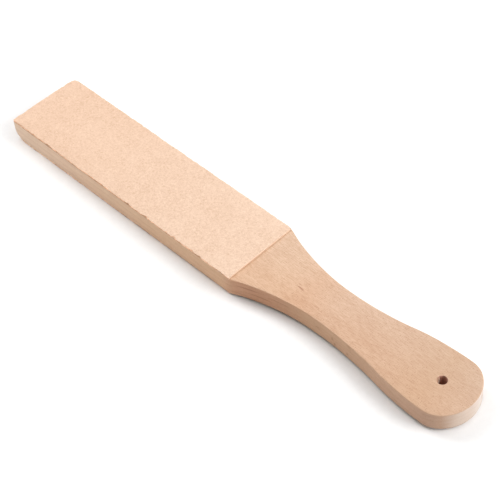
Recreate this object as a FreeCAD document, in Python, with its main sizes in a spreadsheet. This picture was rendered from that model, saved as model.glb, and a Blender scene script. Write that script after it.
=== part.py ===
"""Double-sided paddle strop: a one-piece beech paddle with a leather strip glued on each face.

Every piece is drawn in its own coordinates, with x running from the tip of the blade towards the
handle, and its Placement sets it in the part's frame: origin under the middle of the strop, on
the surface it lies on, +X towards the handle and +Z up through the front leather.
"""

import math
import os

import FreeCAD
import Part
import Sketcher

SIZES = {
    "blade_width": 50.0,
    "wood_thickness": 12.4,
    "overall_length": 342.8,
    # Handle outline: shoulder, neck, swell and butt
    "shoulder_radius": 10.0,
    "neck_position": 247.7,
    "neck_half_width": 13.5,
    "neck_radius": 146.0,
    "swell_position": 322.5,
    "swell_half_width": 20.7,
    "swell_radius": 170.0,
    "butt_corner_radius": 15.0,
    "butt_end_radius": 23.0,
    "butt_offset": 0.5,
    # The handle's edges are eased, and the blade's stay square under the leather
    "edge_easing": 1.2,
    "square_blade_length": 188.0,
    "far_corner_radius": 4.5,
    "near_corner_radius": 0.8,
    # Hanging hole, drilled a little off the middle of the handle
    "hole_diameter": 5.5,
    "hole_position": 321.5,
    "hole_offset": 1.3,
    # Leather strips and the cement that holds them
    "leather_thickness": 1.05,
    "glue_thickness": 0.15,
    "glue_inset": 0.4,
    "front_leather_length": 191.0,
    "back_leather_length": 189.4,
    "back_leather_width": 49.3,
    "back_leather_start": 0.4,
    "back_leather_skew": 0.2,
}

ORIGIN = -1  # Sketcher's index for the sketch origin and its X axis
Y_AXIS = -2
START, END, CENTRE = 1, 2, 3  # the points of a line or an arc


def make_sheet(doc):
    """The spreadsheet of driving dimensions, in millimetres and degrees."""
    sheet = doc.addObject("Spreadsheet::Sheet", "Sizes")
    for row, (name, value) in enumerate(SIZES.items(), start=1):
        sheet.set(f"A{row}", name)
        sheet.set(f"B{row}", str(value))
        sheet.setAlias(f"B{row}", name)
    doc.recompute()
    return sheet


def make_body(doc, label, x, y, z):
    """A body named label, whose place along each axis follows an expression."""
    body = doc.addObject("PartDesign::Body", label)
    body.Label = label
    for axis, expression in (("x", x), ("y", y), ("z", z)):
        body.setExpression(f".Placement.Base.{axis}", expression)
    return body


def make_sketch(body, name):
    """A sketch on the body's own XY plane."""
    sketch = body.newObject("Sketcher::SketchObject", name)
    plane = next(f for f in body.Origin.OriginFeatures if f.Role == "XY_Plane")
    sketch.AttachmentSupport = [(plane, "")]
    sketch.MapMode = "FlatFace"
    return sketch


def bind(sketch, constraint, expression):
    """Adds a dimension to the sketch and ties it to the spreadsheet."""
    index = sketch.addConstraint(constraint)
    sketch.setExpression(f"Constraints[{index}]", expression)


def point(x, y):
    return FreeCAD.Vector(x, y, 0)


def arc(centre_x, centre_y, radius, start, end):
    """An arc from the point at angle start to the one at angle end, counter-clockwise."""
    circle = Part.Circle(point(centre_x, centre_y), FreeCAD.Vector(0, 0, 1), radius)
    return Part.ArcOfCircle(circle, start, end)


def pad(body, sketch, name, thickness):
    feature = body.newObject("PartDesign::Pad", name)
    feature.Profile = sketch
    feature.setExpression("Length", thickness)
    return feature


def tangent(sketch, first, first_end, second, second_end):
    sketch.addConstraint(Sketcher.Constraint("Tangent", first, first_end, second, second_end))


def vertical_edges_at(shape, x, y):
    """Names of the upright straight edges that stand at (x, y)."""
    names = []
    for index, edge in enumerate(shape.Edges, start=1):
        ends = [v.Point for v in edge.Vertexes]
        if all(abs(p.x - x) < 0.01 and abs(p.y - y) < 0.01 for p in ends):
            names.append(f"Edge{index}")
    return names


def round_corner(body, feature, name, x, y, radius):
    """Rounds the upright corner of the feature at (x, y)."""
    body.Document.recompute()
    fillet = body.newObject("PartDesign::Fillet", name)
    fillet.Base = (feature, vertical_edges_at(feature.Shape, x, y))
    fillet.setExpression("Radius", radius)
    return fillet


def draw_rectangle(sketch, left, below, width, length):
    """A rectangle that starts at x = left and reaches below y = 0 by the second expression."""
    corners = [(1, -20), (100, -20), (100, 20), (1, 20)]
    for start, end in zip(corners, corners[1:] + corners[:1]):
        sketch.addGeometry(Part.LineSegment(point(*start), point(*end)), False)
    for side in range(4):
        sketch.addConstraint(Sketcher.Constraint("Coincident", side, END, (side + 1) % 4, START))
        direction = "Horizontal" if side % 2 == 0 else "Vertical"
        sketch.addConstraint(Sketcher.Constraint(direction, side))
    bind(sketch, Sketcher.Constraint("DistanceX", 0, START, 0, END, 99.0), length)
    bind(sketch, Sketcher.Constraint("DistanceY", 1, START, 1, END, 40.0), width)
    bind(sketch, Sketcher.Constraint("DistanceX", ORIGIN, START, 0, START, 1.0), left)
    bind(sketch, Sketcher.Constraint("DistanceY", 0, START, ORIGIN, START, 20.0), below)


def draw_side(sketch, side, end_arc):
    """One long edge of the paddle, from the tip to the butt. side is 1 for +Y and -1 for -Y.

    A straight blade edge runs into a rounded shoulder, a long hollow to the neck, a gentler
    hollow out of it, the swell of the grip and the corner of the butt, all tangent.
    """
    s = SIZES
    half_blade = s["blade_width"] / 2
    neck_x, neck_half = s["neck_position"], s["neck_half_width"]
    swell_x, swell_half = s["swell_position"], s["swell_half_width"]

    def up(angle_from, angle_to):
        """Angles of an arc on the +Y side, mirrored for the -Y side."""
        return (angle_from, angle_to) if side > 0 else (-angle_to, -angle_from)

    def side_arc(x, y, radius, angle_from, angle_to):
        geometry = arc(x, side * y, radius, *up(angle_from, angle_to))
        return sketch.addGeometry(geometry, False)

    # First guesses, which the constraints below correct
    edge = sketch.addGeometry(
        Part.LineSegment(point(0, side * half_blade), point(189, side * half_blade)), False
    )
    shoulder = side_arc(189, half_blade - s["shoulder_radius"], s["shoulder_radius"], 1.2, 1.57)
    hollow = side_arc(neck_x, neck_half + s["neck_radius"], s["neck_radius"], 4.33, 4.71)
    flare = side_arc(neck_x, neck_half + 225, 225, 4.71, 4.9)
    swell = side_arc(swell_x, swell_half - s["swell_radius"], s["swell_radius"], 1.57, 1.74)
    corner = side_arc(325, 6, s["butt_corner_radius"], 0.5, 1.5)

    # On the +Y side a rounded arc starts at its handle end, and on the -Y side at its blade end
    tip_end, butt_end = (END, START) if side > 0 else (START, END)
    tangent(sketch, edge, END, shoulder, tip_end)
    tangent(sketch, shoulder, butt_end, hollow, butt_end)
    tangent(sketch, hollow, tip_end, flare, butt_end)
    tangent(sketch, flare, tip_end, swell, tip_end)
    tangent(sketch, swell, butt_end, corner, tip_end)
    tangent(sketch, corner, butt_end, end_arc, tip_end)

    def height(geometry, where, expression, value):
        """Distance of a point from the paddle's middle line, towards this side."""
        ends = (ORIGIN, START, geometry, where) if side > 0 else (geometry, where, ORIGIN, START)
        bind(sketch, Sketcher.Constraint("DistanceY", *ends, value), expression)

    def radius(geometry, name):
        bind(sketch, Sketcher.Constraint("Radius", geometry, s[name]), f"Sizes.{name}")

    sketch.addConstraint(Sketcher.Constraint("Horizontal", edge))
    height(edge, START, "Sizes.blade_width / 2", half_blade)
    radius(shoulder, "shoulder_radius")
    radius(hollow, "neck_radius")
    bind(
        sketch,
        Sketcher.Constraint("DistanceX", ORIGIN, START, hollow, CENTRE, neck_x),
        "Sizes.neck_position",
    )
    height(hollow, CENTRE, "Sizes.neck_half_width + Sizes.neck_radius", neck_half + s["neck_radius"])
    sketch.addConstraint(Sketcher.Constraint("Vertical", hollow, CENTRE, hollow, tip_end))
    radius(swell, "swell_radius")
    bind(
        sketch,
        Sketcher.Constraint("DistanceX", ORIGIN, START, swell, CENTRE, swell_x),
        "Sizes.swell_position",
    )
    offset = "+ Sizes.butt_offset" if side > 0 else "- Sizes.butt_offset"
    below = (swell, CENTRE, ORIGIN, START) if side > 0 else (ORIGIN, START, swell, CENTRE)
    bind(
        sketch,
        Sketcher.Constraint("DistanceY", *below, s["swell_radius"] - swell_half),
        f"Sizes.swell_radius - (Sizes.swell_half_width {offset})",
    )
    radius(corner, "butt_corner_radius")
    return edge


def draw_paddle_outline(sketch):
    """The whole outline of blade and handle, seen from above."""
    half_blade = SIZES["blade_width"] / 2
    end_radius = SIZES["butt_end_radius"]
    end_x = SIZES["overall_length"] - end_radius
    tip = sketch.addGeometry(Part.LineSegment(point(0, -half_blade), point(0, half_blade)), False)
    butt = sketch.addGeometry(arc(end_x, SIZES["butt_offset"], end_radius, -0.5, 0.5), False)
    far_edge = draw_side(sketch, 1, butt)
    near_edge = draw_side(sketch, -1, butt)
    sketch.addConstraint(Sketcher.Constraint("PointOnObject", tip, START, Y_AXIS))
    sketch.addConstraint(Sketcher.Constraint("Vertical", tip))
    sketch.addConstraint(Sketcher.Constraint("Coincident", tip, END, far_edge, START))
    sketch.addConstraint(Sketcher.Constraint("Coincident", tip, START, near_edge, START))
    bind(sketch, Sketcher.Constraint("Radius", butt, end_radius), "Sizes.butt_end_radius")
    bind(
        sketch,
        Sketcher.Constraint("DistanceX", ORIGIN, START, butt, CENTRE, end_x),
        "Sizes.overall_length - Sizes.butt_end_radius",
    )
    bind(
        sketch,
        Sketcher.Constraint("DistanceY", ORIGIN, START, butt, CENTRE, SIZES["butt_offset"]),
        "Sizes.butt_offset",
    )


def make_paddle(doc):
    """Blade and handle sawn from one board, edges eased along the handle, drilled for hanging."""
    body = make_body(
        doc,
        "wooden_paddle",
        "-Sizes.overall_length / 2",
        "0",
        "Sizes.leather_thickness + Sizes.glue_thickness",
    )
    outline = make_sketch(body, "PaddleOutline")
    draw_paddle_outline(outline)
    board = pad(body, outline, "SawnBoard", "Sizes.wood_thickness")
    doc.recompute()

    easing = body.newObject("PartDesign::Fillet", "EasedEdges")
    easing.Base = (board, [f"Edge{i}" for i in flat_edges(board.Shape)])
    easing.setExpression("Radius", "Sizes.edge_easing")

    square = make_sketch(body, "SquareBlade")
    draw_rectangle(
        square, "0", "Sizes.blade_width / 2", "Sizes.blade_width", "Sizes.square_blade_length"
    )
    blade = pad(body, square, "BladeEdges", "Sizes.wood_thickness")
    half_blade = SIZES["blade_width"] / 2
    far = round_corner(body, blade, "FarCorner", 0, half_blade, "Sizes.far_corner_radius")
    near = round_corner(body, far, "NearCorner", 0, -half_blade, "Sizes.near_corner_radius")
    doc.recompute()

    hole_place = make_sketch(body, "HolePlace")
    draw_hole_circle(hole_place)
    doc.recompute()
    hole = body.newObject("PartDesign::Hole", "HangingHole")
    hole.Profile = hole_place
    doc.recompute()
    hole.Reversed = True
    hole.DepthType = "ThroughAll"
    hole.setExpression("Diameter", "Sizes.hole_diameter")
    doc.recompute()
    drilled = near.Shape.Volume - body.Shape.Volume
    expected = math.pi * SIZES["hole_diameter"] ** 2 / 4 * SIZES["wood_thickness"]
    if abs(drilled - expected) > 0.01 * expected:
        raise RuntimeError(f"the hanging hole removes {drilled:.1f} mm3, not {expected:.1f}")
    return body


def flat_edges(shape):
    """Numbers of the edges that lie flat in the board's two faces."""
    found = []
    for index, edge in enumerate(shape.Edges, start=1):
        if edge.BoundBox.ZLength < 0.01:
            found.append(index)
    return found


def draw_hole_circle(sketch):
    """The hole's circle, a little off the handle's middle line."""
    x, y, diameter = SIZES["hole_position"], SIZES["hole_offset"], SIZES["hole_diameter"]
    circle = Part.Circle(point(x, y), FreeCAD.Vector(0, 0, 1), diameter / 2)
    hole = sketch.addGeometry(circle, False)
    bind(sketch, Sketcher.Constraint("Diameter", hole, diameter), "Sizes.hole_diameter")
    bind(
        sketch,
        Sketcher.Constraint("DistanceX", ORIGIN, START, hole, CENTRE, x),
        "Sizes.hole_position",
    )
    bind(
        sketch,
        Sketcher.Constraint("DistanceY", ORIGIN, START, hole, CENTRE, y),
        "Sizes.hole_offset",
    )


def make_front_strip(doc, label, inset, thickness, z):
    """A layer on the front face, flush with the blade or set in all round by inset."""
    half_width = f"Sizes.blade_width / 2 - {inset}"
    body = make_body(doc, label, "-Sizes.overall_length / 2", "0", z)
    outline = make_sketch(body, "Outline")
    draw_rectangle(
        outline,
        inset,
        half_width,
        f"Sizes.blade_width - 2 * {inset}",
        f"Sizes.front_leather_length - 2 * {inset}",
    )
    layer = pad(body, outline, "Layer", thickness)
    doc.recompute()
    box = layer.Shape.BoundBox
    far = round_corner(
        body, layer, "FarCorner", box.XMin, box.YMax, f"Sizes.far_corner_radius - {inset}"
    )
    round_corner(body, far, "NearCorner", box.XMin, box.YMin, "Sizes.near_corner_radius")
    return body


def make_back_strip(doc, label, inset, thickness, z):
    """A layer on the back face: cut slightly narrow and laid slightly skew."""
    body = make_body(
        doc,
        label,
        "-Sizes.overall_length / 2 + Sizes.back_leather_start",
        "-Sizes.blade_width / 2",
        z,
    )
    body.Placement.Rotation = FreeCAD.Rotation(FreeCAD.Vector(0, 0, 1), 0)
    body.setExpression(".Placement.Rotation.Angle", "Sizes.back_leather_skew")
    outline = make_sketch(body, "Outline")
    draw_rectangle(
        outline,
        inset,
        f"-{inset}",
        f"Sizes.back_leather_width - 2 * {inset}",
        f"Sizes.back_leather_length - 2 * {inset}",
    )
    layer = pad(body, outline, "Layer", thickness)
    doc.recompute()
    box = layer.Shape.BoundBox
    near = round_corner(body, layer, "NearCorner", box.XMin, box.YMin, "Sizes.far_corner_radius")
    round_corner(body, near, "FarCorner", box.XMin, box.YMax, "Sizes.far_corner_radius")
    return body


def make_layers(doc):
    """The two leather strips and the two films of contact cement under them."""
    back_of_wood = "Sizes.leather_thickness + Sizes.glue_thickness"
    front_of_wood = f"{back_of_wood} + Sizes.wood_thickness"
    front_of_glue = f"{front_of_wood} + Sizes.glue_thickness"
    leather, glue = "Sizes.leather_thickness", "Sizes.glue_thickness"
    return [
        make_front_strip(doc, "front_leather", "0", leather, front_of_glue),
        make_front_strip(doc, "front_glue_layer", "Sizes.glue_inset", glue, front_of_wood),
        make_back_strip(doc, "back_leather", "0", leather, "0"),
        make_back_strip(doc, "back_glue_layer", "Sizes.glue_inset", glue, leather),
    ]


def check(doc, bodies):
    """Stops if any object failed or any sub-part isn't one sound solid."""
    for item in doc.Objects:
        if {"Invalid", "Error"} & set(item.State):
            raise RuntimeError(f"{item.Name} failed: {item.State}")
    for body in bodies:
        if body.Shape.isNull() or not body.Shape.isValid() or len(body.Shape.Solids) != 1:
            raise RuntimeError(f"{body.Label} isn't one valid solid")


def main():
    doc = FreeCAD.newDocument("PaddleStrop")
    make_sheet(doc)
    bodies = [make_paddle(doc)] + make_layers(doc)
    doc.recompute()
    check(doc, bodies)
    os.makedirs("parts", exist_ok=True)
    for body in bodies:
        body.Shape.exportStep(f"parts/{body.Label}.step")
        box = body.Shape.BoundBox
        print(f"{body.Label}: volume {body.Shape.Volume:.1f} mm3, x {box.XMin:.2f} to {box.XMax:.2f},")
        print(f"    y {box.YMin:.2f} to {box.YMax:.2f}, z {box.ZMin:.2f} to {box.ZMax:.2f}")


main()
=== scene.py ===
"""Looks for the double-sided paddle strop: bare beech, suede leather on both faces, studio light."""
import itertools
import math

import bpy
import numpy as np
from mathutils import Matrix, Vector


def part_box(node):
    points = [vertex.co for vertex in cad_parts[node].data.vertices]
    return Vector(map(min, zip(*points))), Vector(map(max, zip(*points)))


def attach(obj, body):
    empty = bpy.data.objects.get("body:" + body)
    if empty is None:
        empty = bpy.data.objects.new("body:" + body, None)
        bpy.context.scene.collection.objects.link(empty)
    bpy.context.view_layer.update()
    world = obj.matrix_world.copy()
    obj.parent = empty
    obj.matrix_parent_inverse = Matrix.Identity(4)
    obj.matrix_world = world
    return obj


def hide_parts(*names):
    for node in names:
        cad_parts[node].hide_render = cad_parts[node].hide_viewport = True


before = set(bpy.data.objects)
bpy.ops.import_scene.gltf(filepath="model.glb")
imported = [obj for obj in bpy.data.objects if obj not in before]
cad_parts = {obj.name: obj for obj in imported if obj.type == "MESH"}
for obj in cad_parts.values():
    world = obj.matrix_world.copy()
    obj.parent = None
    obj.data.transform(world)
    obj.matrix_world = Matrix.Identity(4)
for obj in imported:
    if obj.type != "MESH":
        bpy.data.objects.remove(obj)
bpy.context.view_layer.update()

MM = 0.001
WOOD_LOW, WOOD_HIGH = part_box("wooden_paddle")
FRONT_LOW, FRONT_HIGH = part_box("front_leather")
TIP = WOOD_LOW.x  # outlines are drawn in millimetres, with x from the tip of the blade
LENGTH = (WOOD_HIGH.x - WOOD_LOW.x) / MM
HALF_WIDTH = (WOOD_HIGH.y - WOOD_LOW.y) / MM / 2
WOOD_BOTTOM, WOOD_TOP = WOOD_LOW.z / MM, WOOD_HIGH.z / MM

# The paddle's outline, as sawn
SHOULDER_RADIUS = 10.0
NECK_POSITION, NECK_HALF_WIDTH, NECK_RADIUS = 247.7, 13.5, 146.0
SWELL_POSITION, SWELL_HALF_WIDTH, SWELL_RADIUS = 322.5, 20.7, 170.0
BUTT_CORNER_RADIUS, BUTT_END_RADIUS, BUTT_OFFSET = 15.0, 23.0, 0.5
NEAR_CORNER_RADIUS, FAR_CORNER_RADIUS = 0.8, 4.5  # at the tip, as the strips' are
STRIP_END_RADIUS = 0.35
HOLE_X, HOLE_Y, HOLE_RADIUS = 321.5, 1.3, 2.75
# Where the blade's square edges change into the handle's eased ones
EASING_START, EASING_FULL = 187.0, 203.0


# ---------------------------------------------------------------- numbers that vary smoothly

HASH_FACTORS = np.array([374761393, 668265263, 1442695041], np.int64)
HASH_MIX = 1274126177
NOISE_VALUES = 4096  # a power of two


def noise(points, cell, seed):
    """Smooth noise from -1 to 1 at points, one per row, with bumps about cell across."""
    points = np.asarray(points, float) / cell
    low = np.floor(points).astype(np.int64)
    part = points - low
    part = part * part * (3 - 2 * part)
    table = np.random.default_rng(seed).uniform(-1.0, 1.0, NOISE_VALUES)
    dimensions = points.shape[-1]
    total = np.zeros(points.shape[:-1])
    for corner in itertools.product((0, 1), repeat=dimensions):
        key = ((low + np.array(corner)) * HASH_FACTORS[:dimensions]).sum(-1)
        key = (key ^ (key >> 13)) * HASH_MIX
        weight = np.where(np.array(corner) == 1, part, 1 - part).prod(-1)
        total += table[(key ^ (key >> 16)) & (NOISE_VALUES - 1)] * weight
    return total


def smoothstep(value, low, high):
    """From 0 at low to 1 at high, eased at both."""
    t = np.clip((np.asarray(value, float) - low) / (high - low), 0, 1)
    return t * t * (3 - 2 * t)


def graded(length, fine, coarse, growth=1.35):
    """Positions from 0 to 1 whose steps grow from fine at both ends to coarse."""
    steps = []
    step = fine
    while step < coarse:
        steps.append(step)
        step *= growth
    middle = max(2, round((length - 2 * sum(steps)) / coarse))
    plain = (length - 2 * sum(steps)) / middle
    steps = steps + [plain] * middle + steps[::-1]
    return np.concatenate([[0], np.cumsum(steps)]) / sum(steps)


# ---------------------------------------------------------------- outlines

class Outline:
    """A closed outline of arcs joined by straight lines, walked anticlockwise, in millimetres.

    Each arc is its centre, its radius, negative where the outline is hollow, and the angles of
    the outline's outward normal at its start and end, in degrees.
    """

    def __init__(self, arcs):
        self.pieces = []
        for arc, following in zip(arcs, arcs[1:] + arcs[:1]):
            x, y, radius, start, end = arc
            self.pieces.append(("arc", x, y, radius, math.radians(start), math.radians(end)))
            end_point = self.on_arc(arc, end)
            next_point = self.on_arc(following, following[3])
            if np.hypot(*(next_point - end_point)) > 1e-6:
                self.pieces.append(("line", end_point, next_point, math.radians(end)))
        lengths = [
            abs(p[3] * (p[5] - p[4])) if p[0] == "arc" else np.hypot(*(p[2] - p[1]))
            for p in self.pieces
        ]
        self.starts = np.concatenate([[0], np.cumsum(lengths)])
        self.total = self.starts[-1]

    @staticmethod
    def on_arc(arc, angle):
        """The point of an arc whose normal has an angle, in degrees."""
        a = math.radians(angle)
        return np.array([arc[0] + arc[2] * math.cos(a), arc[1] + arc[2] * math.sin(a)])

    def at(self, distance):
        """Points and outward normals at distances along the outline."""
        s = np.mod(np.asarray(distance, float), self.total)
        which = np.clip(np.searchsorted(self.starts, s, "right") - 1, 0, len(self.pieces) - 1)
        points = np.zeros((len(s), 2))
        normals = np.zeros((len(s), 2))
        for k, piece in enumerate(self.pieces):
            here = which == k
            t = (s[here] - self.starts[k]) / (self.starts[k + 1] - self.starts[k])
            if piece[0] == "arc":
                angle = piece[4] + t * (piece[5] - piece[4])
                n = np.stack([np.cos(angle), np.sin(angle)], 1)
                points[here] = np.array(piece[1:3]) + piece[3] * n
            else:
                n = np.tile([math.cos(piece[3]), math.sin(piece[3])], (here.sum(), 1))
                points[here] = piece[1] + t[:, None] * (piece[2] - piece[1])
            normals[here] = n
        return points, normals

    def where(self, number, share):
        """The distance along the outline at a share of the way along one of its arcs."""
        arcs = [k for k, piece in enumerate(self.pieces) if piece[0] == "arc"]
        k = arcs[number]
        return self.starts[k] + share * (self.starts[k + 1] - self.starts[k])


def joint_angle(a, b):
    """The normal's angle where two circles (x, y, signed radius) meet smoothly."""
    x, y = (b[0] - a[0]) / (a[2] - b[2]), (b[1] - a[1]) / (a[2] - b[2])
    return math.degrees(math.atan2(y, x))


def handle_side(side):
    """The circles of one side of the handle, from shoulder to butt corner; side is 1 or -1."""
    inner = HALF_WIDTH - SHOULDER_RADIUS
    neck = NECK_HALF_WIDTH + NECK_RADIUS
    reach = math.sqrt((NECK_RADIUS + SHOULDER_RADIUS) ** 2 - (neck - inner) ** 2)
    shoulder = (NECK_POSITION - reach, side * inner, SHOULDER_RADIUS)
    hollow = (NECK_POSITION, side * neck, -NECK_RADIUS)
    swell_y = BUTT_OFFSET + side * (SWELL_HALF_WIDTH - SWELL_RADIUS)
    run = SWELL_POSITION - NECK_POSITION
    gap = NECK_HALF_WIDTH - side * swell_y
    flare_radius = (run**2 + gap**2 - SWELL_RADIUS**2) / (2 * (SWELL_RADIUS - gap))
    flare = (NECK_POSITION, side * (NECK_HALF_WIDTH + flare_radius), -flare_radius)
    swell = (SWELL_POSITION, swell_y, SWELL_RADIUS)
    # The butt corner touches the swell and the end arc from inside
    butt = (LENGTH - BUTT_END_RADIUS, BUTT_OFFSET)
    across = math.hypot(butt[0] - swell[0], butt[1] - swell[1])
    to_swell = SWELL_RADIUS - BUTT_CORNER_RADIUS
    to_butt = BUTT_END_RADIUS - BUTT_CORNER_RADIUS
    along = (to_swell**2 - to_butt**2 + across**2) / (2 * across)
    off = math.sqrt(to_swell**2 - along**2)
    ux, uy = (butt[0] - swell[0]) / across, (butt[1] - swell[1]) / across
    corner = (
        swell[0] + along * ux + off * side * uy,
        swell[1] + along * uy - off * side * ux,
        BUTT_CORNER_RADIUS,
    )
    return [shoulder, hollow, flare, swell, corner]


def paddle_outline():
    """The whole paddle, from its tip's near corner round the handle to its tip's far corner."""
    near, far = handle_side(-1), handle_side(1)
    butt = (LENGTH - BUTT_END_RADIUS, BUTT_OFFSET, BUTT_END_RADIUS)
    chain = near + [butt] + far[::-1]
    angles = [-90.0]
    for a, b in zip(chain, chain[1:]):
        if a[0] == b[0] == NECK_POSITION:
            # The hollow and the flare meet at the neck, where the outline runs along the handle
            angles.append(-90.0 if a[1] < 0 else 90.0)
        else:
            angles.append(joint_angle(a, b))
    angles.append(90.0)
    r, f = NEAR_CORNER_RADIUS, FAR_CORNER_RADIUS
    arcs = [(r, r - HALF_WIDTH, r, -180.0, -90.0)]
    arcs += [(*circle, angles[k], angles[k + 1]) for k, circle in enumerate(chain)]
    arcs.append((f, HALF_WIDTH - f, f, 90.0, 180.0))
    return Outline(arcs)


def strip_outline(length, low, high):
    """A strip's rectangle, from the tip and between low and high, with rounded corners."""
    near, end, far = NEAR_CORNER_RADIUS, STRIP_END_RADIUS, FAR_CORNER_RADIUS
    return Outline([
        (near, low + near, near, -180.0, -90.0),
        (length - end, low + end, end, -90.0, 0.0),
        (length - end, high - end, end, 0.0, 90.0),
        (far, high - far, far, 90.0, 180.0),
    ])


# ---------------------------------------------------------------- slabs

INSET_REACH = 2.4  # how far inside a slab's border its inset is felt


def flat_at(z):
    """The height of a flat face, for Slab.grid."""
    return lambda points: np.full(len(points), z)


class Slab:
    """A closed slab: a grid on each face, joined by rings round the edge.

    The outline is cut at four corners, given as distances along it, into a near side, an end, a
    far side and a tip. along and across give the grid's places on them, from 0 to 1.
    """

    def __init__(self, outline, corners, along, across):
        self.along, self.across = along, across
        near_tip, near_end, far_end, far_tip = corners
        total = outline.total
        near = near_tip + along * (near_end - near_tip)
        end = near_end + across * (far_end - near_end)
        far = far_tip + along * (far_end - far_tip)
        tip = near_tip + total + across * (far_tip - near_tip - total)
        self.s = np.concatenate([near, end[1:], far[::-1][1:], tip[::-1][1:-1]])
        self.points, self.normals = outline.at(self.s)
        n, m = len(along), len(across)
        i = np.concatenate([
            np.arange(n), np.full(m - 1, n - 1), np.arange(n - 1)[::-1], np.zeros(m - 2, int),
        ])
        j = np.concatenate([
            np.zeros(n, int), np.arange(1, m), np.full(n - 1, m - 1), np.arange(1, m - 1)[::-1],
        ])
        self.loop = i, j
        self.vertices, self.quads, self.kinds = [], [], []
        self.count = 0

    def add(self, points):
        """Adds vertices, one per row, and returns their numbers."""
        self.vertices.append(points)
        numbers = np.arange(self.count, self.count + len(points))
        self.count += len(points)
        return numbers

    def add_at(self, flat, z):
        """Adds vertices over flat points, at one height or at one each."""
        return self.add(np.column_stack([flat, np.broadcast_to(z, len(flat))]))

    def face(self, a, b, c, d, kind):
        """Adds quads from arrays of their corners. kind is the number of their material."""
        quads = np.stack([np.ravel(v) for v in (a, b, c, d)], 1)
        self.quads.append(quads)
        self.kinds.append(np.full(len(quads), kind))

    def inset(self, amount):
        """The outline's points, moved inwards."""
        return self.points - self.normals * np.reshape(amount, (-1, 1))

    def spread(self, edge, near, end, far, tip):
        """Fills a grid from its border, with the share each side has of each place in it."""
        full = near * edge[:, :1] + far * edge[:, -1:] + tip * edge[:1] + end * edge[-1:]
        full -= near * (tip * edge[0, 0] + end * edge[-1, 0])
        full -= far * (tip * edge[0, -1] + end * edge[-1, -1])
        full[self.loop] = edge[self.loop]
        return full

    def grid(self, border, height):
        """The grid over one face, inside a border. height(points) gives its z."""
        edge = np.zeros((len(self.along), len(self.across), 2))
        edge[self.loop] = self.points
        u, v = self.along[:, None, None], self.across[None, :, None]
        flat = self.spread(edge, 1 - v, u, v, 1 - u)
        # The border's inset dies away quickly inside it
        wide = np.linalg.norm(edge[:, -1] - edge[:, 0], axis=1)[:, None, None]
        long = np.linalg.norm(edge[-1] - edge[0], axis=1)[None, :, None]
        shift = np.zeros_like(edge)
        shift[self.loop] = border - self.points

        def felt(distance):
            return np.exp(-((distance / INSET_REACH) ** 2))

        near, far, tip, end = felt(v * wide), felt((1 - v) * wide), felt(u * long), felt((1 - u) * long)
        flat += self.spread(shift, near, end, far, tip)
        points = flat.reshape(-1, 2)
        return self.add_at(points, height(points)).reshape(flat.shape[:2])

    def cover(self, grid, up, kind, keep=None):
        """Faces over a grid's cells, or only over the kept ones, facing up or down."""
        a, b, c, d = grid[:-1, :-1], grid[1:, :-1], grid[1:, 1:], grid[:-1, 1:]
        if keep is not None:
            a, b, c, d = a[keep], b[keep], c[keep], d[keep]
        if up:
            self.face(a, b, c, d, kind)
        else:
            self.face(d, c, b, a, kind)

    def ring(self, amount, z):
        """Vertices round the edge, moved inwards by an amount, at a height."""
        return self.add_at(self.inset(np.broadcast_to(amount, len(self.s))), z)

    def join(self, rings, kind, outward=True):
        """Faces between rings in order, from the top face to the bottom one."""
        for upper, lower in zip(rings, rings[1:]):
            a, b = (lower, upper) if outward else (upper, lower)
            self.face(a, np.roll(a, -1), np.roll(b, -1), b, kind)

    def result(self):
        """The vertices, the quads and the quads' material numbers."""
        return np.concatenate(self.vertices), np.concatenate(self.quads), np.concatenate(self.kinds)


def strip_slab(outline, fine, along, across):
    """A slab over a strip's outline, with steps from fine at its edges to along and across."""
    corners = [outline.where(k, 0.5) for k in range(4)]
    length, width = corners[1] - corners[0], corners[2] - corners[1]
    return Slab(outline, corners, graded(length, fine, along), graded(width, fine, across))


def mesh_piece(name, vertices, faces, kinds, materials):
    """An object from vertices in millimetres from the tip, riding on the strop's one body."""
    place = np.asarray(vertices, float) * MM
    place[:, 0] += TIP
    mesh = bpy.data.meshes.new(name)
    mesh.from_pydata(place.tolist(), [], [list(map(int, f)) for f in faces])
    mesh.polygons.foreach_set("material_index", np.asarray(kinds, np.int32))
    mesh.polygons.foreach_set("use_smooth", np.ones(len(faces), bool))
    for material in materials:
        mesh.materials.append(material)
    mesh.update()
    piece = bpy.data.objects.new(name, mesh)
    bpy.context.scene.collection.objects.link(piece)
    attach(piece, "root")
    return piece


# ---------------------------------------------------------------- materials

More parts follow.
